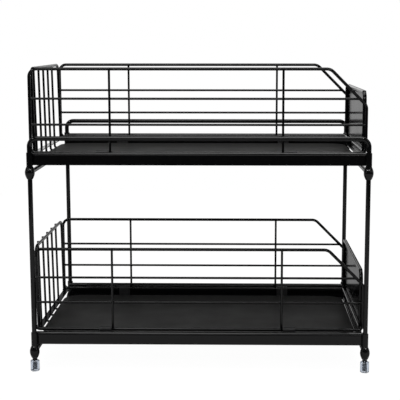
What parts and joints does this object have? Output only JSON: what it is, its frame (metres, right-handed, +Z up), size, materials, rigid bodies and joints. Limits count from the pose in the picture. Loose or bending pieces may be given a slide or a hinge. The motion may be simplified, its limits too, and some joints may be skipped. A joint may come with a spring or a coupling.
{
  "type": "under sink organizer",
  "caption": "Two-tier free-standing under sink organizer with wire baskets and sheet trays that slide out on side rails.",
  "frame": {"origin": "centre of the bounding box on the ground", "axes": "+X towards the pull-out end, +Z up, -Y the side nearest the camera in the picture"},
  "size_m": [0.4388, 0.3024, 0.3875],
  "materials": {
    "frame_paint": "glossy black",
    "wire_paint": "glossy black",
    "panel_paint": "glossy black",
    "tray_paint": "satin black",
    "clear_plastic": "clear",
    "glide_plastic": "matt black"
  },
  "bodies": {
    "stand": {"foot_cap_front_left": "clear_plastic", "foot_cap_front_right": "clear_plastic", "foot_cap_rear_left": "clear_plastic", "foot_cap_rear_right": "clear_plastic", "post_front_left": "frame_paint", "post_front_right": "frame_paint", "post_rear_left": "frame_paint", "post_rear_right": "frame_paint", "lower_connector_front_left": "frame_paint", "lower_connector_front_right": "frame_paint", "lower_connector_rear_left": "frame_paint", "lower_connector_rear_right": "frame_paint", "upper_connector_front_left": "frame_paint", "upper_connector_front_right": "frame_paint", "upper_connector_rear_left": "frame_paint", "upper_connector_rear_right": "frame_paint", "lower_rail_left": "frame_paint", "lower_rail_right": "frame_paint", "upper_rail_left": "frame_paint", "upper_rail_right": "frame_paint", "lower_cross_bar_front": "frame_paint", "lower_cross_bar_rear": "frame_paint", "upper_cross_bar_front": "frame_paint", "upper_cross_bar_rear": "frame_paint", "guard_rail_left": "frame_paint", "guard_rail_right": "frame_paint"},
    "lower_basket": {"lower_side_wall_left": "wire_paint", "lower_side_wall_right": "wire_paint", "lower_rear_grid": "wire_paint", "lower_rear_strip": "wire_paint", "lower_front_frame": "wire_paint", "lower_front_panel": "panel_paint", "lower_tray": "tray_paint", "lower_glide_front_left": "glide_plastic", "lower_glide_front_right": "glide_plastic", "lower_glide_rear_left": "glide_plastic", "lower_glide_rear_right": "glide_plastic"},
    "upper_basket": {"upper_side_wall_left": "wire_paint", "upper_side_wall_right": "wire_paint", "upper_rear_grid": "wire_paint", "upper_rear_strip": "wire_paint", "upper_front_frame": "wire_paint", "upper_front_panel": "panel_paint", "upper_tray": "tray_paint", "upper_glide_front_left": "glide_plastic", "upper_glide_front_right": "glide_plastic", "upper_glide_rear_left": "glide_plastic", "upper_glide_rear_right": "glide_plastic"}
  },
  "joints": [
    {"name": "lower_basket_slide", "type": "slide", "parent": "stand", "child": "lower_basket", "axis": [1, 0, 0], "range_m": [0, 0.2]},
    {"name": "upper_basket_slide", "type": "slide", "parent": "stand", "child": "upper_basket", "axis": [1, 0, 0], "range_m": [0, 0.2]}
  ]
}
